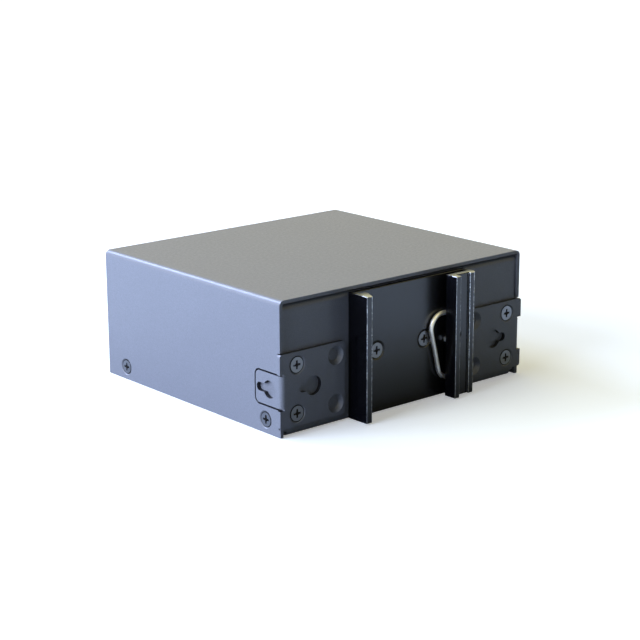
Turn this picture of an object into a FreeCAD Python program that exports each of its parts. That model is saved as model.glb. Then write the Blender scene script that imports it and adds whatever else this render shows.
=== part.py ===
import FreeCAD, Part
import math
import os
from FreeCAD import Vector

# Rail-mounted network switch in a folded steel case.
# It lies on its broad chassis face: X runs along the long side of the rear face, +Y points out of
# the port face, +Z is up. The origin is the middle of the case's underside.

# ---- Driving sizes, millimetres ----
CASE_WIDTH = 93.6
CASE_DEPTH = 83.0
CASE_HEIGHT = 38.75

# Folded sheet parts
COVER_SHEET = 1.0
COVER_BEND = 1.6
COVER_LIFT = 0.1
CHASSIS_SHEET = 1.0
CHASSIS_BEND = 1.2
PANEL_TOP_BEND = 1.9
TOP_FLANGE = 8.0
SIDE_FLANGE = 14.0
SIDE_FLANGE_GAP = 1.0
SIDE_FLANGE_DROP = 3.0
CASE_GAP = 0.3
PANEL_INSET = 0.65
LIP_HEIGHT = 8.5
LIP_END_GAP = 1.8
CORNER_RELIEF = 1.4

# Countersunk machine screws
THREAD_RADIUS = 1.5
THREAD_GAP = 0.02
SHANK_GAP = 0.15
HEAD_RADIUS = 2.2
SMALL_HEAD_RADIUS = 2.0
HEAD_RIM = 0.15
SINK_GAP = 0.3
HEAD_SINK = 0.12
SCREW_LENGTH = 5.0
SIDE_SCREW_LENGTH = 4.0
RECESS_SPAN = 2.5
RECESS_WIDTH = 0.62
RECESS_DEPTH = 1.0
RECESS_CORE = 0.6
NUT_RADIUS = 2.35
NUT_HEIGHT = 2.0

# Screws through the sides of the cover
SIDE_SCREW_Z = 3.95
SIDE_SCREW_REAR = 6.5
SIDE_SCREW_FRONT = 9.2

# Wall brackets
BRACKET_SHEET = 1.2
BRACKET_INNER_X = 24.0
BRACKET_OVERHANG = 0.5
BRACKET_BOTTOM = 2.6
BRACKET_TOP = 23.85
BRACKET_CORNER = 0.8
BRACKET_BEND = 1.35
BRACKET_INNER_BEND = 0.1
BRACKET_HOLE_INSET = 5.6
BRACKET_HOLE_SPACING = 13.9
BRACKET_HOLE_Z = 13.15
NOTCH_GAP = 0.5
TAB_LENGTH = 10.6
TAB_BOTTOM = 8.4
TAB_TOP = 17.65
TAB_CORNER = 1.6
TAB_RELIEF = 0.5
TAB_RELIEF_DEPTH = 1.0
KEYHOLE_RADIUS = 2.8
KEYHOLE_SLOT = 1.3
KEYHOLE_INSET = 11.3
KEYHOLE_REACH = 3.7
TAB_KEYHOLE_RADIUS = 2.55
TAB_KEYHOLE_SLOT = 1.25
TAB_KEYHOLE_Y = 4.7
TAB_KEYHOLE_REACH = 4.2

# Extruded rail clip
CLIP_LEFT = -21.6
CLIP_RIGHT = 23.1
CLIP_BOTTOM = 0.35
CLIP_TOP_GAP = 1.8
CLIP_BASE = 1.35
CLIP_SCREW_X = -2.7
CLIP_SCREW_SPACING = 18.6
HOOK_WALL = 1.9
HOOK_HEIGHT = 6.4
HOOK_TIP = 2.0
HOOK_BARB = 3.6
RAIL_GROOVE = 1.5
BARB_SLOPE = 1.2
LIP_LEFT_X = 13.3
LIP_WIDTH = 1.9
LIP_FRONT = 6.1
CHANNEL_SLIT = 1.9
WEB_THICKNESS = 2.1
RIDGE_WIDTH = 1.8
RIDGE_HEIGHT = 0.7
RIDGE_INSET = 1.1
CHANNEL_WALL = 1.25
STAKE_X = 16.9
STAKE_RISE = 0.25
STAKE_RADIUS = 0.5
POCKET_RADIUS = 0.75
STAKE_POCKET = 1.3
STAKE_GAP = 0.2

# Wire spring in the channel
WIRE_RADIUS = 0.7
SPRING_BOW_X = 7.1
SPRING_TOP_RISE = 6.75
SPRING_KNEE_X = 11.9
SPRING_KNEE_DROP = 11.85
SPRING_FOOT_REACH = 3.4
SPRING_FOOT_DROP = 1.9
SPRING_END_DROP = 1.6
SPRING_END_RADIUS = 1.3
SPRING_HOOK_RADIUS = 3.2
SPRING_BOW_RADIUS = 4.3
SPRING_KNEE_RADIUS = 3.2

# Circuit board
BOARD_THICKNESS = 1.6
BOARD_SIDE_GAP = 0.8
BOARD_FRONT_GAP = 0.6
BOARD_REAR_GAP = 3.6
STANDOFF_RADIUS = 2.6
STANDOFF_INSET = 5.0
STANDOFF_FRONT_INSET = 30.0
BOARD_HEAD_RADIUS = 2.4
BOARD_HEAD_HEIGHT = 1.4
BOARD_SCREW_END_GAP = 1.6

# Socket block, two rows of four
PORT_ROWS = 2
PORT_PITCH = 13.97
PORT_ROW_PITCH = 12.6
PORT_WIDTH = 11.8
PORT_HEIGHT = 6.9
PORT_DEPTH = 15.0
LATCH_WIDTH = 6.2
LATCH_HEIGHT = 1.5
LATCH_KEY_WIDTH = 3.4
LATCH_KEY_HEIGHT = 1.0
BLOCK_EDGE_GAP = 1.76
BLOCK_TOP_GAP = 0.85
BLOCK_LIGHT_GAP = 0.4
BLOCK_SIDE_WALL = 0.9
BLOCK_END_WALL = 1.2
BLOCK_DEPTH = 26.0
BLOCK_PROUD = 0.4
SHIELD_SHEET = 0.3
CUTOUT_GAP = 0.3
CONTACTS_PER_PORT = 8
CONTACT_PITCH = 1.02
CONTACT_WIDTH = 0.4
CONTACT_THICKNESS = 0.3
CONTACT_REACH = 9.0
CONTACT_RISE = 1.7
CONTACT_ROOT = 0.5

# Status lights beside the sockets
LIGHT_TO_INLET = 4.82
LIGHT_COUNT = 4
LIGHT_PITCH = 5.6
LIGHT_RISE = 4.9
LIGHT_RADIUS = 1.45
LIGHT_REACH = 2.2
LIGHT_BASE = 2.0
HOLDER_WIDTH = 4.4
HOLDER_DEPTH = 5.0
HOLDER_MARGIN = 2.4

# Power inlet, a row of pins in a plastic shroud
INLET_EDGE_GAP = 0.62
INLET_POLES = 3
INLET_PITCH = 5.08
INLET_END = 2.6
INLET_HEIGHT = 8.4
INLET_DEPTH = 12.0
INLET_WALL = 1.1
INLET_BACK = 3.0
INLET_PROUD = 1.0
PIN_SIZE = 0.8
PIN_TIP_GAP = 2.0

# Components on the board
CHIP_SIZE = 20.0
CHIP_HEIGHT = 1.6
CHIP_OFFSET = 2.5
SINK_GAP_TO_MAGNETS = 2.35
SINK_SIZE = 22.0
SINK_BASE = 2.0
SINK_HEIGHT = 10.0
SINK_FINS = 7
SINK_FIN = 1.2
MAGNET_SIZE = (10.5, 6.5, 5.6)
MAGNET_PITCH = 12.0
MAGNET_BLOCK_GAP = 4.1
CAP_RADIUS = 4.0
CAP_HEIGHT = 12.0
CAP_COUNT = 2
CAP_SIDE_INSET = 9.4
CAP_REAR_INSET = 14.25
CAP_SPACING = 10.0
CAP_GROOVE = 0.35
CAP_GROOVE_RISE = 2.4
INDUCTOR_SIZE = 10.0
INDUCTOR_HEIGHT = 5.0
INDUCTOR_CORNER = 2.0
INDUCTOR_SIDE_INSET = 15.9
INDUCTOR_FRONT_INSET = 33.25
CRYSTAL_SIZE = (11.0, 4.6, 3.6)
CRYSTAL_END = 2.2
CRYSTAL_GAP = 2.5
CRYSTAL_OFFSET = 3.0
REGULATOR_SIZE = (5.0, 4.0, 1.6)
REGULATOR_SIDE_INSET = 24.4
REGULATOR_OFFSET = 8.0

# Allowances for cutting and for finding edges
CUT_MARGIN = 1.0
EDGE_TOLERANCE = 0.1

# ---- Sizes that follow ----
SIDE_X = CASE_WIDTH / 2
REAR_Y = -CASE_DEPTH / 2
FRONT_Y = CASE_DEPTH / 2
PANEL_REAR = REAR_Y + PANEL_INSET
PANEL_FRONT = FRONT_Y - PANEL_INSET
CHASSIS_X = SIDE_X - COVER_SHEET - CASE_GAP
CHASSIS_TOP = CASE_HEIGHT - COVER_SHEET - CASE_GAP
BRACKET_FACE = PANEL_REAR - BRACKET_SHEET
CLIP_FACE = PANEL_REAR - CLIP_BASE
CLIP_LENGTH = CASE_HEIGHT - CLIP_TOP_GAP - CLIP_BOTTOM
CLIP_MIDDLE = CLIP_BOTTOM + CLIP_LENGTH / 2
STAKE_Z = CLIP_MIDDLE + STAKE_RISE
LATCH_REACH = LATCH_HEIGHT + LATCH_KEY_HEIGHT
BLOCK_BODY = (PORT_ROWS - 1) * PORT_ROW_PITCH + PORT_HEIGHT + 2 * LATCH_REACH + 2 * BLOCK_END_WALL
SHIELD_TOP = CHASSIS_TOP - CHASSIS_SHEET - BLOCK_TOP_GAP
BLOCK_BASE = SHIELD_TOP - SHIELD_SHEET - BLOCK_BODY
BOARD_TOP = BLOCK_BASE - SHIELD_SHEET
BOARD_BOTTOM = BOARD_TOP - BOARD_THICKNESS
BOARD_LIFT = BOARD_BOTTOM - CHASSIS_SHEET
BOARD_SCREW_LENGTH = BOARD_THICKNESS + BOARD_LIFT - BOARD_SCREW_END_GAP
BOARD_X = CHASSIS_X - CHASSIS_SHEET - BOARD_SIDE_GAP
BOARD_REAR = PANEL_REAR + CHASSIS_SHEET + BOARD_REAR_GAP
BOARD_FRONT = PANEL_FRONT - CHASSIS_SHEET - BOARD_FRONT_GAP
INLET_FRONT = PANEL_FRONT + INLET_PROUD
INLET_WIDTH = (INLET_POLES - 1) * INLET_PITCH + 2 * INLET_END + 2 * INLET_WALL
INLET_X = INLET_EDGE_GAP + INLET_WIDTH / 2 - BOARD_X
LIGHT_X = INLET_X + INLET_WIDTH / 2 + LIGHT_TO_INLET
BLOCK_FRONT = PANEL_FRONT + BLOCK_PROUD
BLOCK_BACK = BLOCK_FRONT - BLOCK_DEPTH
BLOCK_RIGHT = BOARD_X - BLOCK_EDGE_GAP - SHIELD_SHEET
BLOCK_SPACE = BLOCK_RIGHT - SHIELD_SHEET - BLOCK_LIGHT_GAP - (LIGHT_X + HOLDER_WIDTH / 2)
PORT_COLUMNS = math.floor((BLOCK_SPACE - 2 * BLOCK_SIDE_WALL) / PORT_PITCH)
BLOCK_WIDTH = PORT_COLUMNS * PORT_PITCH + 2 * BLOCK_SIDE_WALL
BLOCK_X = BLOCK_RIGHT - BLOCK_WIDTH / 2
MAGNET_Y = BLOCK_BACK - SHIELD_SHEET - MAGNET_BLOCK_GAP - MAGNET_SIZE[1] / 2
CHIP_X = BLOCK_X - CHIP_OFFSET
CHIP_Y = MAGNET_Y - MAGNET_SIZE[1] / 2 - SINK_GAP_TO_MAGNETS - SINK_SIZE / 2
SIDES = (-1, 1)


def box(x0, x1, y0, y1, z0, z1):
    corner = Vector(min(x0, x1), min(y0, y1), min(z0, z1))
    return Part.makeBox(abs(x1 - x0), abs(y1 - y0), abs(z1 - z0), corner)


def rod(radius, start, direction, length):
    return Part.makeCylinder(radius, length, Vector(*start), Vector(*direction))


def prism(points, direction):
    """Solid swept from a closed polygon along a vector."""
    corners = [Vector(point) for point in points]
    wire = Part.makePolygon(corners + corners[:1])
    return Part.Face(wire).extrude(Vector(direction))


def round_edges(shape, radius, test):
    """Fillet the edges whose middle point passes the test."""
    edges = [edge for edge in shape.Edges if test(edge.CenterOfMass, edge)]
    return shape.makeFillet(radius, edges)


def runs_along(edge, axis):
    direction = edge.Vertexes[-1].Point - edge.Vertexes[0].Point
    return direction.Length > 0 and abs(abs(direction.normalize().dot(axis)) - 1) < 1e-6


def folded_channel(half_width, low, high, sheet, bend, start, length):
    """Sheet folded to a U that opens downwards, swept along Y from start."""
    outer = box(-half_width, half_width, start, start + length, low, high)
    inner = box(
        sheet - half_width, half_width - sheet, start, start + length, low, high - sheet
    )
    along = Vector(0, 1, 0)
    outer = round_edges(outer, bend, lambda c, e: runs_along(e, along) and c.z > high - sheet / 2)
    inner = round_edges(
        inner, bend - sheet, lambda c, e: runs_along(e, along) and c.z > high - sheet * 1.5
    )
    return outer.cut(inner)


def countersunk_screw(head_radius, face, inward, length):
    """Screw with its head just below face, pointing inward, with a cross recess."""
    face = Vector(*face)
    inward = Vector(*inward)
    seat = face + inward * HEAD_SINK
    rim = Part.makeCylinder(head_radius, HEAD_RIM, seat, inward)
    taper = head_radius - THREAD_RADIUS
    head = Part.makeCone(head_radius, THREAD_RADIUS, taper, seat + inward * HEAD_RIM, inward)
    shank = Part.makeCylinder(THREAD_RADIUS, length, seat, inward)
    screw = shank.fuse([rim, head])
    up = Vector(0, 0, 1)
    side = inward.cross(up)
    for along, across in ((side, up), (up, side)):
        reach = along * (RECESS_SPAN / 2)
        foot = along * (RECESS_CORE / 2)
        corner = seat - across * (RECESS_WIDTH / 2)
        floor = corner + inward * RECESS_DEPTH
        slot = prism([corner - reach, corner + reach, floor + foot, floor - foot], across * RECESS_WIDTH)
        screw = screw.cut(slot)
    return screw.cut(Part.makeCone(RECESS_CORE, RECESS_CORE / 2, RECESS_DEPTH, seat, inward))


def countersink(head_radius, face, inward, depth):
    """Clearance hole and cone for a countersunk screw."""
    face = Vector(*face)
    inward = Vector(*inward)
    top = head_radius + SINK_GAP + HEAD_SINK + HEAD_RIM
    bottom = THREAD_RADIUS + SHANK_GAP
    cone = Part.makeCone(top, bottom, top - bottom, face, inward)
    hole = Part.makeCylinder(bottom, depth, face, inward)
    return cone.fuse(hole)


def tapped(start, inward, depth):
    return rod(THREAD_RADIUS + THREAD_GAP, start, inward, depth)


def keyhole(radius, slot, centre, toward, reach, inward, depth):
    """Round hole with a narrow slot that runs toward a rounded end."""
    centre = Vector(*centre)
    toward = Vector(*toward)
    inward = Vector(*inward)
    across = toward.cross(inward)
    end = centre + toward * reach
    corner = centre - across * slot
    far_corner = corner + toward * reach
    width = across * (2 * slot)
    slot_body = prism([corner, far_corner, far_corner + width, corner + width], inward * depth)
    large = Part.makeCylinder(radius, depth, centre, inward)
    small = Part.makeCylinder(slot, depth, end, inward)
    return large.fuse([small, slot_body])


def clip_screw_points():
    return [
        (CLIP_SCREW_X + sign * CLIP_SCREW_SPACING / 2, CLIP_MIDDLE) for sign in SIDES
    ]


def bracket_screw_points(side):
    """Holes of one bracket as (x, z, filled); only the pair by the case's side holds screws."""
    points = []
    for row in SIDES:
        z = BRACKET_HOLE_Z + row * BRACKET_HOLE_SPACING / 2
        outer = side * (SIDE_X - BRACKET_HOLE_INSET)
        points.append((outer, z, True))
        points.append((outer - side * BRACKET_HOLE_SPACING, z, False))
    return points


def side_screw_points():
    return [REAR_Y + SIDE_SCREW_REAR, FRONT_Y - SIDE_SCREW_FRONT]


def standoff_points():
    return [
        (side * (BOARD_X - STANDOFF_INSET), y)
        for side in SIDES
        for y in (BOARD_REAR + STANDOFF_INSET, BOARD_FRONT - STANDOFF_FRONT_INSET)
    ]


def port_centres():
    """Centre of each socket as (x, z, direction in which its latch slot points)."""
    first_x = BLOCK_X - (PORT_COLUMNS - 1) * PORT_PITCH / 2
    first_z = BLOCK_BASE + BLOCK_END_WALL + LATCH_REACH + PORT_HEIGHT / 2
    centres = []
    for row in range(PORT_ROWS):
        for column in range(PORT_COLUMNS):
            latch = -1 if row == 0 else 1
            centres.append((first_x + column * PORT_PITCH, first_z + row * PORT_ROW_PITCH, latch))
    return centres


def light_heights():
    return [BOARD_TOP + LIGHT_RISE + index * LIGHT_PITCH for index in range(LIGHT_COUNT)]


def inlet_pin_points():
    first = INLET_X - (INLET_POLES - 1) * INLET_PITCH / 2
    return [first + index * INLET_PITCH for index in range(INLET_POLES)]


# ---- Case ----
def tab_notch(side):
    """Opening at the rear of the cover's side that takes a bracket's plate edge and its tab."""
    outside = side * (SIDE_X + COVER_SHEET)
    inside = side * (SIDE_X - 2 * COVER_SHEET)
    plate_slot = box(
        outside, inside, REAR_Y - CUT_MARGIN, PANEL_REAR + NOTCH_GAP / 2,
        BRACKET_BOTTOM - NOTCH_GAP / 2, BRACKET_TOP + NOTCH_GAP / 2,
    )
    tab_slot = box(
        outside, inside, REAR_Y - CUT_MARGIN, REAR_Y + TAB_LENGTH + NOTCH_GAP,
        TAB_BOTTOM - NOTCH_GAP, TAB_TOP + NOTCH_GAP,
    )
    end = REAR_Y + TAB_LENGTH
    tab_slot = round_edges(
        tab_slot, TAB_CORNER + NOTCH_GAP,
        lambda c, e: runs_along(e, Vector(1, 0, 0)) and c.y > end,
    )
    return plate_slot.fuse(tab_slot)


def make_top_cover():
    cover = folded_channel(
        SIDE_X, COVER_LIFT, CASE_HEIGHT, COVER_SHEET, COVER_BEND, REAR_Y, CASE_DEPTH
    )
    for side in SIDES:
        cover = cover.cut(tab_notch(side))
        for y in side_screw_points():
            face = (side * SIDE_X, y, SIDE_SCREW_Z)
            cover = cover.cut(countersink(SMALL_HEAD_RADIUS, face, (-side, 0, 0), COVER_SHEET))
    return cover


def front_openings():
    """Cut-outs of the port panel for the socket block, the lights and the power inlet."""
    near = PANEL_FRONT - 2 * CHASSIS_SHEET
    far = PANEL_FRONT + CUT_MARGIN
    half_block = BLOCK_WIDTH / 2 + SHIELD_SHEET + CUTOUT_GAP
    block_top = SHIELD_TOP + CUTOUT_GAP
    cuts = [
        box(BLOCK_X - half_block, BLOCK_X + half_block, near, far, BOARD_TOP - CUTOUT_GAP, block_top)
    ]
    half_inlet = INLET_WIDTH / 2 + CUTOUT_GAP
    inlet_top = BOARD_TOP + INLET_HEIGHT + CUTOUT_GAP
    cuts.append(
        box(INLET_X - half_inlet, INLET_X + half_inlet, near, far, BOARD_TOP - CUTOUT_GAP, inlet_top)
    )
    for z in light_heights():
        cuts.append(rod(LIGHT_RADIUS + CUTOUT_GAP / 2, (LIGHT_X, near, z), (0, 1, 0), far - near))
    return cuts


def chassis_shell():
    """Bottom, rear panel with its top flange, and port panel, folded from one sheet."""
    rear_inner = PANEL_REAR + CHASSIS_SHEET
    top_inner = CHASSIS_TOP - CHASSIS_SHEET
    outer = box(-CHASSIS_X, CHASSIS_X, PANEL_REAR, PANEL_FRONT, 0, CHASSIS_TOP)
    inner = box(
        -CHASSIS_X, CHASSIS_X, rear_inner, PANEL_FRONT - CHASSIS_SHEET, CHASSIS_SHEET, top_inner
    )
    above = box(
        -CHASSIS_X, CHASSIS_X, PANEL_REAR + TOP_FLANGE, PANEL_FRONT - CHASSIS_SHEET,
        CHASSIS_SHEET, CHASSIS_TOP,
    )
    along = Vector(1, 0, 0)
    outer = round_edges(
        outer, CHASSIS_BEND, lambda c, e: runs_along(e, along) and c.z < EDGE_TOLERANCE
    )
    outer = round_edges(
        outer, PANEL_TOP_BEND,
        lambda c, e: runs_along(e, along) and c.z > top_inner and c.y < REAR_Y / 2,
    )
    inner = round_edges(
        inner, CHASSIS_BEND - CHASSIS_SHEET,
        lambda c, e: runs_along(e, along) and c.z < CHASSIS_SHEET + EDGE_TOLERANCE,
    )
    inner = round_edges(
        inner, PANEL_TOP_BEND - CHASSIS_SHEET,
        lambda c, e: runs_along(e, along) and c.z > top_inner - EDGE_TOLERANCE and c.y < REAR_Y / 2,
    )
    return outer.cut([inner, above])


def make_chassis():
    """The folded shell with a low lip along each side and a flange at each end of its rear panel."""
    chassis = chassis_shell()
    lip_start = PANEL_REAR + LIP_END_GAP
    lip_end = PANEL_FRONT - LIP_END_GAP
    flange_low = LIP_HEIGHT + SIDE_FLANGE_GAP
    flange_high = CHASSIS_TOP - SIDE_FLANGE_DROP
    for side in SIDES:
        edge = side * CHASSIS_X
        inside = side * (CHASSIS_X - CHASSIS_SHEET)
        chassis = chassis.fuse(box(edge, inside, lip_start, lip_end, 0, LIP_HEIGHT))
        chassis = chassis.fuse(
            box(edge, inside, PANEL_REAR, PANEL_REAR + SIDE_FLANGE, flange_low, flange_high)
        )
        for end, step in ((PANEL_REAR, 1), (PANEL_FRONT, -1)):
            reach = end + step * LIP_END_GAP
            inner_edge = side * (CHASSIS_X - CORNER_RELIEF)
            chassis = chassis.cut(box(edge, inner_edge, end, reach, 0, CORNER_RELIEF))
    chassis = chassis.removeSplitter()
    corner = Vector(0, 1, 0)
    chassis = round_edges(
        chassis, CHASSIS_BEND / 2,
        lambda c, e: runs_along(e, corner) and abs(c.z) < EDGE_TOLERANCE
        and e.Length > CASE_DEPTH / 2,
    )
    chassis = chassis.cut(front_openings())
    for x, z in clip_screw_points():
        chassis = chassis.cut(tapped((x, PANEL_REAR, z), (0, 1, 0), CHASSIS_SHEET))
    for side in SIDES:
        for x, z, filled in bracket_screw_points(side):
            if filled:
                chassis = chassis.cut(tapped((x, PANEL_REAR, z), (0, 1, 0), CHASSIS_SHEET))
        for y in side_screw_points():
            start = (side * CHASSIS_X, y, SIDE_SCREW_Z)
            chassis = chassis.cut(tapped(start, (-side, 0, 0), CHASSIS_SHEET))
    for x, y in standoff_points():
        chassis = chassis.cut(tapped((x, y, 0), (0, 0, 1), CHASSIS_SHEET))
    return chassis


def clinch_nut(face, inward):
    nut = rod(NUT_RADIUS, face, inward, NUT_HEIGHT)
    return nut.cut(tapped(face, inward, NUT_HEIGHT))


def make_clinch_nuts():
    """Threaded inserts pressed against the inside of the rear panel and of the side lips."""
    inner_face = PANEL_REAR + CHASSIS_SHEET
    nuts = [clinch_nut((x, inner_face, z), (0, 1, 0)) for x, z in clip_screw_points()]
    for side in SIDES:
        for x, z, filled in bracket_screw_points(side):
            if filled:
                nuts.append(clinch_nut((x, inner_face, z), (0, 1, 0)))
        for y in side_screw_points():
            face = (side * (CHASSIS_X - CHASSIS_SHEET), y, SIDE_SCREW_Z)
            nuts.append(clinch_nut(face, (-side, 0, 0)))
    return Part.makeCompound(nuts)


def make_cover_screws():
    screws = []
    for side in SIDES:
        for y in side_screw_points():
            face = (side * SIDE_X, y, SIDE_SCREW_Z)
            screws.append(
                countersunk_screw(SMALL_HEAD_RADIUS, face, (-side, 0, 0), SIDE_SCREW_LENGTH)
            )
    return Part.makeCompound(screws)


# ---- Wall brackets ----
def make_bracket(side):
    """Plate on the rear panel with a tab folded round the case's side."""
    edge = SIDE_X + BRACKET_OVERHANG
    plate = box(
        side * BRACKET_INNER_X, side * edge, BRACKET_FACE, PANEL_REAR, BRACKET_BOTTOM, BRACKET_TOP
    )
    plate = round_edges(plate, BRACKET_CORNER, lambda c, e: runs_along(e, Vector(0, 1, 0)))
    relief_low = TAB_BOTTOM - TAB_RELIEF
    relief_high = TAB_TOP + TAB_RELIEF
    bend_start = side * (SIDE_X - BRACKET_BEND)
    relief_x = side * (SIDE_X - TAB_RELIEF_DEPTH)
    outside = side * (edge + CUT_MARGIN)
    ahead = BRACKET_FACE - CUT_MARGIN
    behind = PANEL_REAR + CUT_MARGIN
    plate = plate.cut(box(relief_x, outside, ahead, behind, relief_low, TAB_BOTTOM))
    plate = plate.cut(box(relief_x, outside, ahead, behind, TAB_TOP, relief_high))
    plate = plate.cut(box(bend_start, outside, ahead, behind, TAB_BOTTOM, TAB_TOP))
    fold_start = bend_start - side * BRACKET_SHEET
    fold = box(
        fold_start, side * SIDE_X, BRACKET_FACE, REAR_Y + TAB_LENGTH, TAB_BOTTOM, TAB_TOP
    )
    fold = round_edges(
        fold, BRACKET_BEND,
        lambda c, e: runs_along(e, Vector(0, 0, 1)) and c.y < REAR_Y
        and abs(c.x) > SIDE_X - BRACKET_BEND / 2,
    )
    hollow_x = side * (SIDE_X - BRACKET_SHEET)
    hollow = box(
        fold_start - side * CUT_MARGIN, hollow_x, PANEL_REAR, REAR_Y + TAB_LENGTH + CUT_MARGIN,
        TAB_BOTTOM - CUT_MARGIN, TAB_TOP + CUT_MARGIN,
    )
    hollow = round_edges(
        hollow, BRACKET_INNER_BEND,
        lambda c, e: runs_along(e, Vector(0, 0, 1)) and c.y < REAR_Y + CUT_MARGIN
        and abs(c.x) > SIDE_X - BRACKET_BEND,
    )
    tab_end = REAR_Y + TAB_LENGTH
    fold = fold.cut(hollow)
    fold = round_edges(
        fold, TAB_CORNER,
        lambda c, e: runs_along(e, Vector(1, 0, 0)) and c.y > tab_end - EDGE_TOLERANCE,
    )
    bracket = plate.fuse(fold).removeSplitter()
    for x, z, _ in bracket_screw_points(side):
        face = (x, BRACKET_FACE, z)
        bracket = bracket.cut(countersink(HEAD_RADIUS, face, (0, 1, 0), BRACKET_SHEET))
    bracket = bracket.cut(
        keyhole(
            KEYHOLE_RADIUS, KEYHOLE_SLOT, (side * (SIDE_X - KEYHOLE_INSET), BRACKET_FACE, BRACKET_HOLE_Z),
            (side, 0, 0), KEYHOLE_REACH, (0, 1, 0), BRACKET_SHEET,
        )
    )
    tab_centre = (side * SIDE_X, REAR_Y + TAB_KEYHOLE_Y, (TAB_BOTTOM + TAB_TOP) / 2)
    return bracket.cut(
        keyhole(
            TAB_KEYHOLE_RADIUS, TAB_KEYHOLE_SLOT, tab_centre, (0, 1, 0), TAB_KEYHOLE_REACH,
            (-side, 0, 0), BRACKET_SHEET,
        )
    )


def make_bracket_screws():
    screws = [
        countersunk_screw(HEAD_RADIUS, (x, BRACKET_FACE, z), (0, 1, 0), SCREW_LENGTH)
        for side in SIDES
        for x, z, filled in bracket_screw_points(side)
        if filled
    ]
    return Part.makeCompound(screws)


# ---- Rail clip ----
def clip_section():
    """Outline of the extrusion, from the rear panel outwards, anticlockwise from the left."""
    web_back = CLIP_FACE - CHANNEL_SLIT
    web_front = web_back - WEB_THICKNESS
    lip_front = CLIP_FACE - LIP_FRONT
    hook_front = CLIP_FACE - HOOK_HEIGHT
    wall_x = CLIP_LEFT + HOOK_WALL
    barb_x = CLIP_LEFT + HOOK_BARB
    barb_back = CLIP_FACE - RAIL_GROOVE
    ridge_right = CLIP_RIGHT - RIDGE_INSET
    ridge_left = ridge_right - RIDGE_WIDTH
    channel_end = CLIP_RIGHT - CHANNEL_WALL
    return [
        (CLIP_LEFT, PANEL_REAR),
        (CLIP_LEFT, hook_front),
        (CLIP_LEFT + HOOK_TIP, hook_front),
        (barb_x, barb_back - BARB_SLOPE),
        (barb_x, barb_back),
        (wall_x, barb_back),
        (wall_x, CLIP_FACE),
        (channel_end, CLIP_FACE),
        (channel_end, web_back),
        (LIP_LEFT_X, web_back),
        (LIP_LEFT_X, lip_front),
        (LIP_LEFT_X + LIP_WIDTH, lip_front),
        (LIP_LEFT_X + LIP_WIDTH, web_front),
        (ridge_left, web_front),
        (ridge_left, web_front - RIDGE_HEIGHT),
        (ridge_right, web_front - RIDGE_HEIGHT),
        (CLIP_RIGHT, web_front + RIDGE_INSET - RIDGE_HEIGHT),
        (CLIP_RIGHT, PANEL_REAR),
    ]


def make_din_clip():
    outline = [(x, y, CLIP_BOTTOM) for x, y in clip_section()]
    clip = prism(outline, (0, 0, CLIP_LENGTH))
    for x, z in clip_screw_points():
        clip = clip.cut(countersink(HEAD_RADIUS, (x, CLIP_FACE, z), (0, 1, 0), CLIP_BASE))
    web_back = CLIP_FACE - CHANNEL_SLIT
    pocket = rod(
        POCKET_RADIUS, (STAKE_X, web_back - WEB_THICKNESS, STAKE_Z), (0, 1, 0), STAKE_POCKET
    )
    bump = rod(STAKE_RADIUS, (STAKE_X, web_back, STAKE_Z), (0, 1, 0), CHANNEL_SLIT - STAKE_GAP)
    return clip.cut(pocket).fuse(bump).removeSplitter()


def make_clip_screws():
    screws = [
        countersunk_screw(HEAD_RADIUS, (x, CLIP_FACE, z), (0, 1, 0), SCREW_LENGTH)
        for x, z in clip_screw_points()
    ]
    return Part.makeCompound(screws)


def rounded_path(points, radii):
    """Wire of straight runs through the points, with a tangent arc at each inner point."""
    edges = []
    start = points[0]
    for index in range(1, len(points) - 1):
        corner = points[index]
        back = (points[index - 1] - corner).normalize()
        ahead = (points[index + 1] - corner).normalize()
        half = back.getAngle(ahead) / 2
        trim = radii[index - 1] / math.tan(half)
        first = corner + back * trim
        last = corner + ahead * trim
        middle_direction = (back + ahead).normalize()
        centre = corner + middle_direction * (radii[index - 1] / math.sin(half))
        middle = centre - middle_direction * radii[index - 1]
        if (first - start).Length > 1e-4:
            edges.append(Part.makeLine(start, first))
        edges.append(Part.Arc(first, middle, last).toShape())
        start = last
    edges.append(Part.makeLine(start, points[-1]))
    return Part.Wire(edges)


def make_rail_spring():
    """Round wire: a bow that stands into the rail space, with both ends behind the lip."""
    y = CLIP_FACE - CHANNEL_SLIT / 2
    hook_x = STAKE_X + STAKE_RADIUS + STAKE_GAP + WIRE_RADIUS
    end_z = STAKE_Z - SPRING_END_DROP
    top_z = CLIP_MIDDLE + SPRING_TOP_RISE
    knee_z = CLIP_MIDDLE - SPRING_KNEE_DROP
    outline = [
        (LIP_LEFT_X + WIRE_RADIUS, end_z),
        (hook_x, end_z),
        (hook_x, top_z),
        (SPRING_BOW_X, top_z),
        (SPRING_KNEE_X, knee_z),
        (LIP_LEFT_X + SPRING_FOOT_REACH, knee_z - SPRING_FOOT_DROP),
    ]
    radii = [SPRING_END_RADIUS, SPRING_HOOK_RADIUS, SPRING_BOW_RADIUS, SPRING_KNEE_RADIUS]
    points = [Vector(px, y, pz) for px, pz in outline]
    path = rounded_path(points, radii)
    first = path.OrderedEdges[0]
    profile = Part.Wire(
        Part.makeCircle(WIRE_RADIUS, points[0], first.tangentAt(first.FirstParameter))
    )
    return path.makePipeShell([profile], True, True)


# ---- Circuit board ----
def make_circuit_board():
    board = box(-BOARD_X, BOARD_X, BOARD_REAR, BOARD_FRONT, BOARD_BOTTOM, BOARD_TOP)
    for x, y in standoff_points():
        hole = rod(THREAD_RADIUS + SHANK_GAP, (x, y, BOARD_BOTTOM), (0, 0, 1), BOARD_THICKNESS)
        board = board.cut(hole)
    return board


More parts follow.
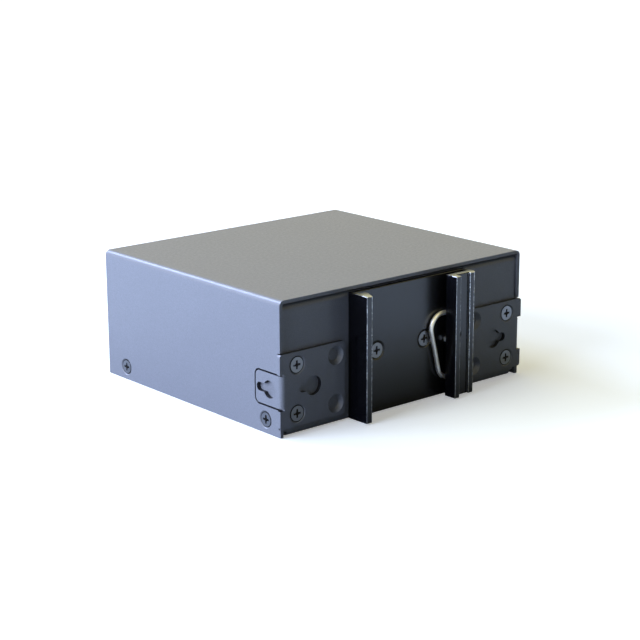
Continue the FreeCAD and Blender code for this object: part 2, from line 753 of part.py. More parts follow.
def make_board_standoffs():
    posts = []
    for x, y in standoff_points():
        post = rod(STANDOFF_RADIUS, (x, y, CHASSIS_SHEET), (0, 0, 1), BOARD_LIFT)
        stud = rod(THREAD_RADIUS, (x, y, 0), (0, 0, 1), CHASSIS_SHEET)
        bore_start = (x, y, BOARD_BOTTOM - BOARD_SCREW_LENGTH + BOARD_THICKNESS)
        posts.append(post.fuse(stud).cut(tapped(bore_start, (0, 0, 1), BOARD_LIFT)))
    return Part.makeCompound(posts)


def make_board_screws():
    screws = []
    for x, y in standoff_points():
        head = rod(BOARD_HEAD_RADIUS, (x, y, BOARD_TOP), (0, 0, 1), BOARD_HEAD_HEIGHT)
        shank = rod(THREAD_RADIUS, (x, y, BOARD_TOP), (0, 0, -1), BOARD_SCREW_LENGTH)
        slot = box(
            x - RECESS_SPAN / 2, x + RECESS_SPAN / 2, y - RECESS_WIDTH / 2, y + RECESS_WIDTH / 2,
            BOARD_TOP + BOARD_HEAD_HEIGHT - RECESS_DEPTH, BOARD_TOP + BOARD_HEAD_HEIGHT,
        )
        cross = slot.copy()
        cross.rotate(Vector(x, y, 0), Vector(0, 0, 1), 90)
        screws.append(head.fuse(shank).cut([slot, cross]))
    return Part.makeCompound(screws)


# ---- Socket block ----
def port_cavity(x, z, latch):
    """Space for one plug, with the stepped slot of its latch."""
    back = BLOCK_FRONT - PORT_DEPTH
    half = PORT_WIDTH / 2
    mouth = box(x - half, x + half, back, BLOCK_FRONT, z - PORT_HEIGHT / 2, z + PORT_HEIGHT / 2)
    face = z + latch * PORT_HEIGHT / 2
    step = box(
        x - LATCH_WIDTH / 2, x + LATCH_WIDTH / 2, back, BLOCK_FRONT,
        face - latch, face + latch * LATCH_HEIGHT,
    )
    key = box(
        x - LATCH_KEY_WIDTH / 2, x + LATCH_KEY_WIDTH / 2, back, BLOCK_FRONT,
        face - latch, face + latch * LATCH_REACH,
    )
    return mouth.fuse([step, key])


def make_jack_housing():
    half = BLOCK_WIDTH / 2
    housing = box(
        BLOCK_X - half, BLOCK_X + half, BLOCK_BACK, BLOCK_FRONT,
        BLOCK_BASE, BLOCK_BASE + BLOCK_BODY,
    )
    for x, z, latch in port_centres():
        housing = housing.cut(port_cavity(x, z, latch))
    return housing


def make_jack_shield():
    """Thin metal can round the socket block, open at the front."""
    half = BLOCK_WIDTH / 2
    outer = box(
        BLOCK_X - half - SHIELD_SHEET, BLOCK_X + half + SHIELD_SHEET, BLOCK_BACK - SHIELD_SHEET,
        BLOCK_FRONT, BOARD_TOP, SHIELD_TOP,
    )
    inner = box(
        BLOCK_X - half, BLOCK_X + half, BLOCK_BACK, BLOCK_FRONT + CUT_MARGIN,
        BLOCK_BASE, BLOCK_BASE + BLOCK_BODY,
    )
    return outer.cut(inner)


def make_jack_contacts():
    """Spring contacts that slope forward from the back wall of each socket."""
    back = BLOCK_FRONT - PORT_DEPTH
    contacts = []
    for x, z, latch in port_centres():
        root = z - latch * (PORT_HEIGHT / 2 - CONTACT_ROOT)
        tip = root + latch * CONTACT_RISE
        first = x - (CONTACTS_PER_PORT - 1) * CONTACT_PITCH / 2 - CONTACT_WIDTH / 2
        for index in range(CONTACTS_PER_PORT):
            left = first + index * CONTACT_PITCH
            outline = [
                (left, back, root),
                (left, back + CONTACT_REACH, tip),
                (left, back + CONTACT_REACH, tip + latch * CONTACT_THICKNESS),
                (left, back, root + latch * CONTACT_THICKNESS),
            ]
            contacts.append(prism(outline, (CONTACT_WIDTH, 0, 0)))
    return Part.makeCompound(contacts)


# ---- Status lights and power inlet ----
def light_base_y():
    return PANEL_FRONT - CHASSIS_SHEET - CUTOUT_GAP


def make_led_holder():
    front = light_base_y()
    top = light_heights()[-1] + HOLDER_MARGIN
    holder = box(
        LIGHT_X - HOLDER_WIDTH / 2, LIGHT_X + HOLDER_WIDTH / 2, front - HOLDER_DEPTH, front,
        BOARD_TOP, top,
    )
    for z in light_heights():
        holder = holder.cut(
            rod(LIGHT_RADIUS, (LIGHT_X, front - LIGHT_BASE, z), (0, 1, 0), LIGHT_BASE)
        )
    return holder


def make_status_leds():
    """Round lights whose domed noses stand through the port panel."""
    start = light_base_y() - LIGHT_BASE
    straight = LIGHT_BASE + LIGHT_REACH - LIGHT_RADIUS
    lights = []
    for z in light_heights():
        body = rod(LIGHT_RADIUS, (LIGHT_X, start, z), (0, 1, 0), straight)
        dome = Part.makeSphere(LIGHT_RADIUS, Vector(LIGHT_X, start + straight, z))
        lights.append(body.fuse(dome).removeSplitter())
    return Part.makeCompound(lights)


def make_power_inlet():
    half = INLET_WIDTH / 2
    back = INLET_FRONT - INLET_DEPTH
    inlet = box(
        INLET_X - half, INLET_X + half, back, INLET_FRONT, BOARD_TOP, BOARD_TOP + INLET_HEIGHT
    )
    cavity = box(
        INLET_X - half + INLET_WALL, INLET_X + half - INLET_WALL, back + INLET_BACK,
        INLET_FRONT, BOARD_TOP + INLET_WALL, BOARD_TOP + INLET_HEIGHT - INLET_WALL,
    )
    return inlet.cut(cavity)


def make_inlet_pins():
    start = INLET_FRONT - INLET_DEPTH + INLET_BACK
    middle = BOARD_TOP + INLET_HEIGHT / 2
    reach = INLET_DEPTH - INLET_BACK - PIN_TIP_GAP
    half = PIN_SIZE / 2
    pins = []
    for x in inlet_pin_points():
        pins.append(box(x - half, x + half, start, start + reach, middle - half, middle + half))
    return Part.makeCompound(pins)


# ---- Components on the board ----
def block_on_board(size, x, y):
    length, width, height = size
    return box(
        x - length / 2, x + length / 2, y - width / 2, y + width / 2, BOARD_TOP, BOARD_TOP + height
    )


def make_switch_chip():
    return block_on_board((CHIP_SIZE, CHIP_SIZE, CHIP_HEIGHT), CHIP_X, CHIP_Y)


def make_heat_sink():
    base = BOARD_TOP + CHIP_HEIGHT
    half = SINK_SIZE / 2
    sink = box(CHIP_X - half, CHIP_X + half, CHIP_Y - half, CHIP_Y + half, base, base + SINK_HEIGHT)
    gap = (SINK_SIZE - SINK_FINS * SINK_FIN) / (SINK_FINS - 1)
    for index in range(SINK_FINS - 1):
        left = CHIP_X - half + SINK_FIN + index * (SINK_FIN + gap)
        sink = sink.cut(
            box(
                left, left + gap, CHIP_Y - half, CHIP_Y + half, base + SINK_BASE,
                base + SINK_HEIGHT,
            )
        )
    return sink


def make_magnetics_modules():
    first = BLOCK_X - (PORT_COLUMNS - 1) * MAGNET_PITCH / 2
    modules = [
        block_on_board(MAGNET_SIZE, first + index * MAGNET_PITCH, MAGNET_Y)
        for index in range(PORT_COLUMNS)
    ]
    return Part.makeCompound(modules)


def make_power_capacitors():
    """Upright cans with a rolled groove near the foot."""
    y = BOARD_REAR + CAP_REAR_INSET
    groove_base = BOARD_TOP + CAP_GROOVE_RISE
    groove_height = 2 * CAP_GROOVE
    cans = []
    for index in range(CAP_COUNT):
        x = CAP_SIDE_INSET + index * CAP_SPACING - BOARD_X
        can = rod(CAP_RADIUS, (x, y, BOARD_TOP), (0, 0, 1), CAP_HEIGHT)
        ring = rod(CAP_RADIUS + CUT_MARGIN, (x, y, groove_base), (0, 0, 1), groove_height)
        core = rod(CAP_RADIUS - CAP_GROOVE, (x, y, groove_base), (0, 0, 1), groove_height)
        cans.append(can.cut(ring.cut(core)))
    return Part.makeCompound(cans)


def inductor_y():
    return BOARD_FRONT - INDUCTOR_FRONT_INSET


def make_power_inductor():
    size = (INDUCTOR_SIZE, INDUCTOR_SIZE, INDUCTOR_HEIGHT)
    body = block_on_board(size, INDUCTOR_SIDE_INSET - BOARD_X, inductor_y())
    return round_edges(body, INDUCTOR_CORNER, lambda c, e: runs_along(e, Vector(0, 0, 1)))


def make_crystal():
    x = CHIP_X + SINK_SIZE / 2 + CRYSTAL_GAP + CRYSTAL_SIZE[0] / 2
    body = block_on_board(CRYSTAL_SIZE, x, CHIP_Y - CRYSTAL_OFFSET)
    return round_edges(body, CRYSTAL_END, lambda c, e: runs_along(e, Vector(0, 0, 1)))


def make_power_regulator():
    x = REGULATOR_SIDE_INSET - BOARD_X
    return block_on_board(REGULATOR_SIZE, x, inductor_y() - REGULATOR_OFFSET)


NODES = {
    "top_cover": make_top_cover,
    "chassis": make_chassis,
    "clinch_nuts": make_clinch_nuts,
    "cover_screws": make_cover_screws,
    "left_bracket": lambda: make_bracket(-1),
    "right_bracket": lambda: make_bracket(1),
    "bracket_screws": make_bracket_screws,
    "din_clip": make_din_clip,
    "clip_screws": make_clip_screws,
    "rail_spring": make_rail_spring,
    "circuit_board": make_circuit_board,
    "board_standoffs": make_board_standoffs,
    "board_screws": make_board_screws,
    "jack_housing": make_jack_housing,
    "jack_shield": make_jack_shield,
    "jack_contacts": make_jack_contacts,
    "led_holder": make_led_holder,
    "status_leds": make_status_leds,
    "power_inlet": make_power_inlet,
    "inlet_pins": make_inlet_pins,
    "switch_chip": make_switch_chip,
    "heat_sink": make_heat_sink,
    "magnetics_modules": make_magnetics_modules,
    "power_capacitors": make_power_capacitors,
    "power_inductor": make_power_inductor,
    "crystal": make_crystal,
    "power_regulator": make_power_regulator,
}

os.makedirs("parts", exist_ok=True)
for node, make in NODES.items():
    shape = make()
    shape.exportStep(os.path.join("parts", node + ".step"))
    size = shape.BoundBox
    print(
        f"{node:18s} valid={shape.isValid()} solids={len(shape.Solids)}"
        f" volume={shape.Volume:9.1f}"
        f" x {size.XMin:7.2f} {size.XMax:7.2f} y {size.YMin:7.2f} {size.YMax:7.2f}"
        f" z {size.ZMin:6.2f} {size.ZMax:6.2f}"
    )
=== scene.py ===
import math

import bpy
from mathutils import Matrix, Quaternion, Vector


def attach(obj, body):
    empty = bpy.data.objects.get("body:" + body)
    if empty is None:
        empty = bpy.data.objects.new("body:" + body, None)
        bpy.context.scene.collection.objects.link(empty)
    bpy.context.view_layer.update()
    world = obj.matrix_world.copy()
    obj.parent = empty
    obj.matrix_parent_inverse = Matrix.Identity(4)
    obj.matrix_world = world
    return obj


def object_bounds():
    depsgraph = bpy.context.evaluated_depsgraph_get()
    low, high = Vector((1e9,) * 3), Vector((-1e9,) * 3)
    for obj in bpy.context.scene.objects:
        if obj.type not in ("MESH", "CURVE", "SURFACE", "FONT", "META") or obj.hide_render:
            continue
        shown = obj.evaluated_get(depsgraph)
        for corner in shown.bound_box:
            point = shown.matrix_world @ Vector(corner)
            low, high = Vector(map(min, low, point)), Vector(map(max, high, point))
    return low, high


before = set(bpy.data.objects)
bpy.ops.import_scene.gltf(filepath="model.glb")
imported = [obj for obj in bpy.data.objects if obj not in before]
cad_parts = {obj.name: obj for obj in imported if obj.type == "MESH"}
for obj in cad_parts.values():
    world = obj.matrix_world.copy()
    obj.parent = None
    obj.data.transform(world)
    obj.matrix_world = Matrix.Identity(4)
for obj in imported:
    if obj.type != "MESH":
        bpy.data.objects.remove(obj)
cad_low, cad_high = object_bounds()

MM = 0.001
CLIP_BASE_FRONT = -42.3 * MM

# ---- The camera: a long lens that looks at the rear left corner of the case ----
LENS_MM = 96.3
SENSOR_MM = 36.0
CAMERA_AZIMUTH = -40.53
CAMERA_ELEVATION = 15.14
CAMERA_ROLL = -0.245
CAMERA_DISTANCE = 521.4 * MM
CAMERA_AIM = Vector((1.13, -2.15, 17.05)) * MM

# ---- Lamps: (name, place in metres, size in metres, watts, colour), all aimed at the object ----
LAMPS = (
    ("window", (-0.85, 0.17, 0.36), (0.9, 0.6), 14.8, (0.86, 1.0, 1.4)),
    ("ceiling", (0.0, 0.35, 0.95), (0.9, 0.9), 2.8, (1.16, 1.0, 0.26)),
    ("strip", (-0.3, 0.75, 0.62), (0.5, 0.2), 7.5, (0.62, 0.78, 1.3)),
    ("fill", (0.95, 0.1, 0.3), (0.55, 0.5), 1.7, (1.08, 1.0, 0.8)),
    ("card", (-0.35, -0.6, 0.3), (0.3, 0.3), 0.24, (0.88, 0.96, 1.1)),
)

# ---- World and floor: what each kind of ray sees ----
AMBIENT_COLOUR = (0.85, 1.0, 1.3)
AMBIENT = 0.012
HORIZON = (0.81, 0.73, 0.4)
FLOOR_SEEN = (0.87, 0.92, 0.89)
FLOOR_MIRRORED = (0.88, 0.97, 1.0)
CONTACT_SHADE = 0.16
CONTACT_START = 0.045
CONTACT_END = 0.15
FLOOR_BOUNCE = (0.13, 0.16, 0.2)
GLOW_NEAR = 0.36
GLOW_FAR = 0.9
GLOW_START = 0.16
GLOW_END = 0.9
FLOOR_GAP = 0.05 * MM
FLOOR_HALF = 3.0


# ---- Node helpers ----
def node(tree, kind, **values):
    """New shader node with its properties or input values set by name."""
    made = tree.nodes.new(kind)
    for name, value in values.items():
        if hasattr(made, name):
            setattr(made, name, value)
        else:
            made.inputs[name.replace("_", " ")].default_value = value
    return made


def new_material(name):
    material = bpy.data.materials.new(name)
    material.use_nodes = True
    tree = material.node_tree
    return material, tree, tree.nodes["Principled BSDF"]


def place(tree, stretch=(1, 1, 1)):
    """The row frame's coordinates, scaled along each axis."""
    coordinates = node(tree, "ShaderNodeTexCoord")
    mapping = node(tree, "ShaderNodeMapping", Scale=stretch)
    tree.links.new(coordinates.outputs["Object"], mapping.inputs["Vector"])
    return mapping.outputs["Vector"]


def noise(tree, grain, detail=2.0, stretch=(1, 1, 1)):
    """Noise whose features are about grain millimetres across."""
    made = node(tree, "ShaderNodeTexNoise", Scale=1 / (grain * MM), Detail=detail)
    tree.links.new(place(tree, stretch), made.inputs["Vector"])
    return made.outputs["Fac"]


def ramp(tree, factor, low, high, first, last):
    """Values from first to last as factor goes from low to high."""
    made = node(tree, "ShaderNodeMapRange")
    for name, value in (
        ("From Min", low), ("From Max", high), ("To Min", first), ("To Max", last)
    ):
        made.inputs[name].default_value = value
    tree.links.new(factor, made.inputs["Value"])
    return made.outputs["Result"]


def blend_colours(tree, factor, first, last):
    """Colour that goes from first to last; each is a colour or a socket."""
    mix = node(tree, "ShaderNodeMix", data_type="RGBA")
    tree.links.new(factor, mix.inputs["Factor"])
    for socket, value in ((mix.inputs["A"], first), (mix.inputs["B"], last)):
        if isinstance(value, bpy.types.NodeSocket):
            tree.links.new(value, socket)
        else:
            socket.default_value = (*value, 1.0)
    return mix.outputs["Result"]


def bumps(tree, shader, layers):
    """Chain of bumps: each layer is (height socket, strength, distance in millimetres)."""
    normal = None
    for height, strength, distance in layers:
        made = node(tree, "ShaderNodeBump", Strength=strength, Distance=distance * MM)
        tree.links.new(height, made.inputs["Height"])
        if normal is not None:
            tree.links.new(normal, made.inputs["Normal"])
        normal = made.outputs["Normal"]
    tree.links.new(normal, shader.inputs["Normal"])


def product(tree, first, second):
    made = node(tree, "ShaderNodeMath", operation="MULTIPLY")
    tree.links.new(first, made.inputs[0])
    tree.links.new(second, made.inputs[1])
    return made.outputs["Value"]


def axis_value(tree, vector, axis):
    split = node(tree, "ShaderNodeSeparateXYZ")
    tree.links.new(vector, split.inputs["Vector"])
    return split.outputs[axis]


def shade(color, factor):
    return tuple(channel * factor for channel in color)


# ---- Materials ----
PAINT = (0.19, 0.197, 0.215)
PAINT_SPECULAR = 0.33
PAINT_COAT = 0.25
PAINT_COAT_ROUGHNESS = 0.22
ANODISED = (0.003, 0.003, 0.004)
ANODISED_ROUGHNESS = 0.27
ANODISED_SPECULAR = 1.0
# Lower gloss on the clip's side flanks: painted shade.
FLANK_SHADE_SPECULAR = 0.12
BARE_ALUMINIUM = (0.76, 0.8, 0.88)
# Bright bare metal on the clip's outer edges: wear and a painted highlight.
EDGE_WEAR_HIGHLIGHT = (0.62, 0.65, 0.7)
WEAR_HIGHLIGHT_REACH = 4 * MM
OXIDE = (0.26, 0.275, 0.31)
RECESS_SHADE_OXIDE = (0.006, 0.006, 0.007)
# Near black on the walls of holes and slots in the cover and brackets: painted shade in the narrow
# gaps.
SLOT_WALL_SHADE = (0.008, 0.008, 0.01)
# Black of the rings in the screw gaps: painted shade.
GAP_SHADE_BLACK = (0.004, 0.004, 0.005)

# ---- Where the sheet metal's broad faces are: (axis, low, high) along that axis ----
FAR_OUT = 1000 * MM
SIDE_PLATE = 45.4 * MM
REAR_PLATE = -40.6 * MM
SLOT_END = (-33 * MM, -28 * MM)
LOW_EDGE = 3 * MM
TOP_PLATE = 30 * MM
SIDE_SHEETS = [("X", -FAR_OUT, -SIDE_PLATE), ("X", SIDE_PLATE, FAR_OUT)]
BRACKET_SHEETS = [*SIDE_SHEETS, ("Y", -FAR_OUT, REAR_PLATE)]
COVER_SHEETS = [
    *SIDE_SHEETS,
    ("Y", -FAR_OUT, REAR_PLATE),
    ("Y", *SLOT_END),
    ("Y", -REAR_PLATE, FAR_OUT),
    ("Z", -FAR_OUT, LOW_EDGE),
    ("Z", TOP_PLATE, FAR_OUT),
]


def off_sheet(tree, sheets):
    """1 on the walls of holes and slots, where painted shade goes, and 0 on the sheet's own broad
    faces.
    """
    normal = node(tree, "ShaderNodeNewGeometry").outputs["Normal"]
    here = place(tree)
    broad = None
    for axis, low, high in sheets:
        square = node(tree, "ShaderNodeMath", operation="ABSOLUTE")
        tree.links.new(axis_value(tree, normal, axis), square.inputs[0])
        inside = node(tree, "ShaderNodeMath", operation="COMPARE")
        tree.links.new(axis_value(tree, here, axis), inside.inputs[0])
        inside.inputs[1].default_value = (low + high) / 2
        inside.inputs[2].default_value = (high - low) / 2
        found = product(tree, square.outputs["Value"], inside.outputs["Value"])
        if broad is not None:
            larger = node(tree, "ShaderNodeMath", operation="MAXIMUM")
            tree.links.new(broad, larger.inputs[0])
            tree.links.new(found, larger.inputs[1])
            found = larger.outputs["Value"]
        broad = found
    return ramp(tree, broad, 0.3, 0.5, 1, 0)


def painted_metal(name, color, roughness=(0.38, 0.5), sheets=None):
    """Fine-textured powder coat: speckled colour, orange peel and a fine grit."""
    material, tree, shader = new_material(name)
    grit = noise(tree, 0.16, 3.0)
    peel = noise(tree, 0.9, 2.0)
    cloud = noise(tree, 22.0, 3.0)
    speckled = blend_colours(
        tree, ramp(tree, grit, 0.35, 0.65, 0, 1), shade(color, 0.86), shade(color, 1.14)
    )
    clouded = blend_colours(
        tree, ramp(tree, cloud, 0.3, 0.7, 0, 0.35), speckled, shade(color, 0.92)
    )
    # The walls of holes and slots are coloured near black: painted shade.
    if sheets is not None:
        clouded = blend_colours(tree, off_sheet(tree, sheets), clouded, SLOT_WALL_SHADE)
    tree.links.new(clouded, shader.inputs["Base Color"])
    tree.links.new(ramp(tree, peel, 0.3, 0.7, *roughness), shader.inputs["Roughness"])
    shader.inputs["Specular IOR Level"].default_value = PAINT_SPECULAR
    shader.inputs["Coat Weight"].default_value = PAINT_COAT
    shader.inputs["Coat Roughness"].default_value = PAINT_COAT_ROUGHNESS
    bumps(tree, shader, [(grit, 0.35, 0.02), (peel, 0.3, 0.03)])
    return material


def anodised(name, color, base_front):
    """Black anodised extrusion with die lines along Z; its sawn ends are bare ahead of its base and
    keep the black behind it as painted shade, and its side flanks have a lower gloss as painted
    shade.
    """
    material, tree, shader = new_material(name)
    lines = noise(tree, 0.35, 2.0, (1, 1, 0.01))
    grit = noise(tree, 0.12, 2.0)
    geometry = node(tree, "ShaderNodeNewGeometry")
    facing = axis_value(tree, geometry.outputs["Normal"], "Z")
    upright = node(tree, "ShaderNodeMath", operation="ABSOLUTE")
    tree.links.new(facing, upright.inputs[0])
    end_face = ramp(tree, upright.outputs["Value"], 0.9, 0.95, 0, 1)
    depth = axis_value(tree, place(tree), "Y")
    # Behind the base's front the sawn end keeps the black colour: painted shade where the base's
    # end lies in shadow.
    ahead = ramp(tree, depth, base_front - 0.2 * MM, base_front, 1, 0)
    sawn = product(tree, end_face, ahead)
    saw_marks = noise(tree, 0.25, 1.0, (0.15, 1, 1))
    bare = blend_colours(tree, saw_marks, shade(BARE_ALUMINIUM, 0.7), BARE_ALUMINIUM)
    dark = blend_colours(tree, lines, shade(color, 0.9), shade(color, 1.1))
    tree.links.new(blend_colours(tree, sawn, dark, bare), shader.inputs["Base Color"])
    tree.links.new(sawn, shader.inputs["Metallic"])
    # The side flanks get a lower specular level by their facing: painted shade that keeps them
    # black.
    sideways = node(tree, "ShaderNodeMath", operation="ABSOLUTE")
    tree.links.new(axis_value(tree, geometry.outputs["Normal"], "X"), sideways.inputs[0])
    gloss = ramp(
        tree, sideways.outputs["Value"], 0.5, 0.9, ANODISED_SPECULAR, FLANK_SHADE_SPECULAR
    )
    tree.links.new(gloss, shader.inputs["Specular IOR Level"])
    shader.inputs["Specular Tint"].default_value = (0.84, 0.88, 1.0, 1.0)
    shader.inputs["Roughness"].default_value = ANODISED_ROUGHNESS
    bumps(tree, shader, [(grit, 0.12, 0.01)])
    return material


def wear_and_highlight_edge(name, color, behind):
    """Edges of a black extrusion; on the outermost ones the black is rubbed through in patches to
    bright metal, which is wear and a painted highlight.
    """
    material, tree, shader = new_material(name)
    outer = ramp(tree, axis_value(tree, place(tree), "Y"), behind - 0.1 * MM, behind, 1, 0)
    patchy = ramp(tree, noise(tree, 0.7, 2.0), 0.3, 0.6, 0.35, 1)
    worn_highlight = product(tree, outer, patchy)
    # Bright metal in patches on the outer edges: wear and a painted highlight.
    tree.links.new(blend_colours(tree, worn_highlight, color, EDGE_WEAR_HIGHLIGHT), shader.inputs["Base Color"])
    tree.links.new(worn_highlight, shader.inputs["Metallic"])
    shader.inputs["Roughness"].default_value = ANODISED_ROUGHNESS
    return material


def metal(name, color, roughness=(0.22, 0.38), grain=0.6, stretch=(1, 1, 1), metallic=1.0):
    """Plain metal with fine variation of colour and gloss."""
    material, tree, shader = new_material(name)
    fine = noise(tree, grain, 3.0, stretch)
    shader.inputs["Metallic"].default_value = metallic
    tree.links.new(
        blend_colours(tree, fine, shade(color, 0.88), shade(color, 1.08)),
        shader.inputs["Base Color"],
    )
    tree.links.new(ramp(tree, fine, 0.3, 0.7, *roughness), shader.inputs["Roughness"])
    bumps(tree, shader, [(fine, 0.1, 0.01)])
    return material


def black_oxide(name, axis):
    """Grey burnished head; black oxide in its recess and on its shank, the recess's black being
    painted shade; axis is the screw's own.
    """
    material, tree, shader = new_material(name)
    fine = noise(tree, 0.3, 3.0)
    geometry = node(tree, "ShaderNodeNewGeometry")
    along = node(tree, "ShaderNodeMath", operation="ABSOLUTE")
    tree.links.new(axis_value(tree, geometry.outputs["Normal"], axis), along.inputs[0])
    square_face = ramp(tree, along.outputs["Value"], 0.75, 0.97, 0, 1)
    grey = blend_colours(tree, fine, shade(OXIDE, 0.88), shade(OXIDE, 1.1))
    # Faces off the screw's axis are coloured black: painted shade in the recess over the black
    # oxide.
    color = blend_colours(tree, square_face, RECESS_SHADE_OXIDE, grey)
    tree.links.new(color, shader.inputs["Base Color"])
    tree.links.new(ramp(tree, square_face, 0, 1, 0.2, 0.85), shader.inputs["Metallic"])
    tree.links.new(ramp(tree, square_face, 0, 1, 0.7, 0.3), shader.inputs["Roughness"])
    bumps(tree, shader, [(fine, 0.1, 0.01)])
    return material


def plastic(name, color, roughness=(0.4, 0.52), grain=0.25):
    """Moulded plastic with a fine spark-eroded texture."""
    material, tree, shader = new_material(name)
    texture = noise(tree, grain, 2.0)
    tree.links.new(
        blend_colours(tree, texture, shade(color, 0.9), shade(color, 1.1)),
        shader.inputs["Base Color"],
    )
    tree.links.new(ramp(tree, texture, 0.3, 0.7, *roughness), shader.inputs["Roughness"])
    bumps(tree, shader, [(texture, 0.2, 0.015)])
    return material


def lens(name, color):
    """Diffused coloured lens of an unlit indicator."""
    material, tree, shader = new_material(name)
    cloud = noise(tree, 1.2, 1.0)
    tree.links.new(
        blend_colours(tree, cloud, shade(color, 0.85), shade(color, 1.1)),
        shader.inputs["Base Color"],
    )
    shader.inputs["Roughness"].default_value = 0.18
    shader.inputs["Transmission Weight"].default_value = 0.35
    return material


def dress_nodes():
    """One material for each CAD node."""
    paint = painted_metal("case_paint", PAINT)
    cover_paint = painted_metal("cover_paint", PAINT, sheets=COVER_SHEETS)
    bracket_paint = painted_metal("bracket_paint", PAINT, sheets=BRACKET_SHEETS)
    rear_screw = black_oxide("black_oxide_rear", "Y")
    zinc = metal("zinc_plate", (0.62, 0.62, 0.6))
    tin = metal("tinned_sheet", (0.7, 0.7, 0.69), (0.24, 0.36), 0.5, (1, 1, 0.08))
    gold = metal("gold_plate", (0.9, 0.68, 0.3), (0.18, 0.28), 0.3)
    black = plastic("black_moulding", (0.022, 0.022, 0.024))
    dressing = {
        "top_cover": cover_paint,
        "chassis": paint,
        "left_bracket": bracket_paint,
        "right_bracket": bracket_paint,
        "din_clip": anodised("black_anodised", ANODISED, CLIP_BASE_FRONT),
        "heat_sink": anodised("sink_anodised", ANODISED, CLIP_BASE_FRONT),
        "cover_screws": black_oxide("black_oxide_side", "X"),
        "bracket_screws": rear_screw,
        "clip_screws": rear_screw,
        "rail_spring": metal(
            "spring_wire", (0.97, 0.97, 0.96), (0.36, 0.42), 2.0, (1, 1, 0.3), 0.85
        ),
        "clinch_nuts": zinc,
        "board_screws": zinc,
        "inlet_pins": tin,
        "jack_shield": tin,
        "crystal": tin,
        "jack_contacts": gold,
        "board_standoffs": metal("turned_brass", (0.78, 0.6, 0.3)),
        "circuit_board": plastic("solder_mask", (0.02, 0.13, 0.06), (0.25, 0.35), 0.8),
        "jack_housing": black,
        "led_holder": black,
        "switch_chip": black,
        "magnetics_modules": black,
        "power_inductor": black,
        "power_regulator": black,
        "status_leds": lens("green_lens", (0.2, 0.62, 0.25)),
        "power_inlet": plastic("green_nylon", (0.035, 0.3, 0.12)),
        "power_capacitors": metal("capacitor_can", (0.5, 0.5, 0.56), (0.3, 0.45)),
    }
    for name, material in dressing.items():
        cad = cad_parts[name]
        cad.data.materials.clear()
        cad.data.materials.append(material)


# ---- Softened edges ----
WELD_REACH = 0.001 * MM
CLIP_EDGE_ROUND = 0.2 * MM
SHARP_ANGLE = math.radians(40)
WEAR_HIGHLIGHT_SLOT = 1


def soften_clip_edges():
    """Small rounds on the extrusion's edges, in the worn material with its painted highlight, that
    the light catches.
    """
    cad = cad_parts["din_clip"]
    cad.data.materials.append(wear_and_highlight_edge("wear_and_highlight_edge", ANODISED, CLIP_BASE_FRONT - WEAR_HIGHLIGHT_REACH))
    weld = cad.modifiers.new("edge_weld", "WELD")
    weld.merge_threshold = WELD_REACH
    bevel = cad.modifiers.new("edge_round", "BEVEL")
    bevel.width = CLIP_EDGE_ROUND
    bevel.segments = 2
    bevel.limit_method = "ANGLE"
    bevel.angle_limit = SHARP_ANGLE
    bevel.use_clamp_overlap = False
    bevel.material = WEAR_HIGHLIGHT_SLOT
    evened = cad.modifiers.new("edge_normals", "WEIGHTED_NORMAL")
    evened.weight = 100


# ---- Painted shade in the gaps round the screw heads ----
SIDE_FACE = 46.8 * MM
BRACKET_PLANE = -42.05 * MM
CLIP_PLANE = -42.2 * MM
GAP_TOP = 0.2 * MM
GAP_FLOOR = 0.3 * MM
GAP_WIDTH = 0.25 * MM
REAR_HEAD = 2.21 * MM
SIDE_HEAD = 2.01 * MM
RING_STEPS = 48
BRACKET_SCREW_X = 41.2 * MM
BRACKET_SCREW_Z = (6.2 * MM, 20.1 * MM)
CLIP_SCREW_X = (-12.0 * MM, 6.6 * MM)
CLIP_SCREW_Z = 18.65 * MM
COVER_SCREW_Y = (-35.0 * MM, 32.3 * MM)
COVER_SCREW_Z = 3.95 * MM


def ring_mesh(name, seats, inner):
    """Closed flat rings; each seat is (point on the face, direction into the sheet)."""
    points = []
    faces = []
    for face_point, inward in seats:
        turn = Vector(inward).to_track_quat("Z", "Y")
        first = len(points)
        for step in range(RING_STEPS):
            angle = 2 * math.pi * step / RING_STEPS
            for radius, depth in (
                (inner, GAP_TOP),
                (inner + GAP_WIDTH, GAP_TOP),
                (inner + GAP_WIDTH, GAP_FLOOR),
                (inner, GAP_FLOOR),
            ):
                flat = Vector((radius * math.cos(angle), radius * math.sin(angle), depth))
                points.append(Vector(face_point) + turn @ flat)
            here = first + 4 * step
            after = first + 4 * ((step + 1) % RING_STEPS)
            for corner in range(4):
                beside = (corner + 1) % 4
                faces.append((here + corner, after + corner, after + beside, here + beside))
    mesh = bpy.data.meshes.new(name)
    mesh.from_pydata(points, [], faces)
    mesh.update()
    return mesh


def add_gap_rings():
    """A thin black ring in each outer countersink: painted shade standing in for the shadowed gap
    round the head.
    """
    # The rings are painted shade, given the plastic shader's texture.
    black = plastic("painted_gap_shade", GAP_SHADE_BLACK, (0.8, 0.9))
    seats = {
        "bracket_gaps": (REAR_HEAD, [
            ((side * BRACKET_SCREW_X, BRACKET_PLANE, z), (0, 1, 0))
            for side in (-1, 1) for z in BRACKET_SCREW_Z
        ]),
        "clip_gaps": (REAR_HEAD, [
            ((x, CLIP_PLANE, CLIP_SCREW_Z), (0, 1, 0)) for x in CLIP_SCREW_X
        ]),
        "cover_gaps": (SIDE_HEAD, [
            ((side * SIDE_FACE, y, COVER_SCREW_Z), (-side, 0, 0))
            for side in (-1, 1) for y in COVER_SCREW_Y
        ]),
    }
    for name, (inner, places) in seats.items():
        rings = bpy.data.objects.new(name, ring_mesh(name, places, inner))
        rings.data.materials.append(black)
        bpy.context.scene.collection.objects.link(rings)
        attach(rings, "casing")


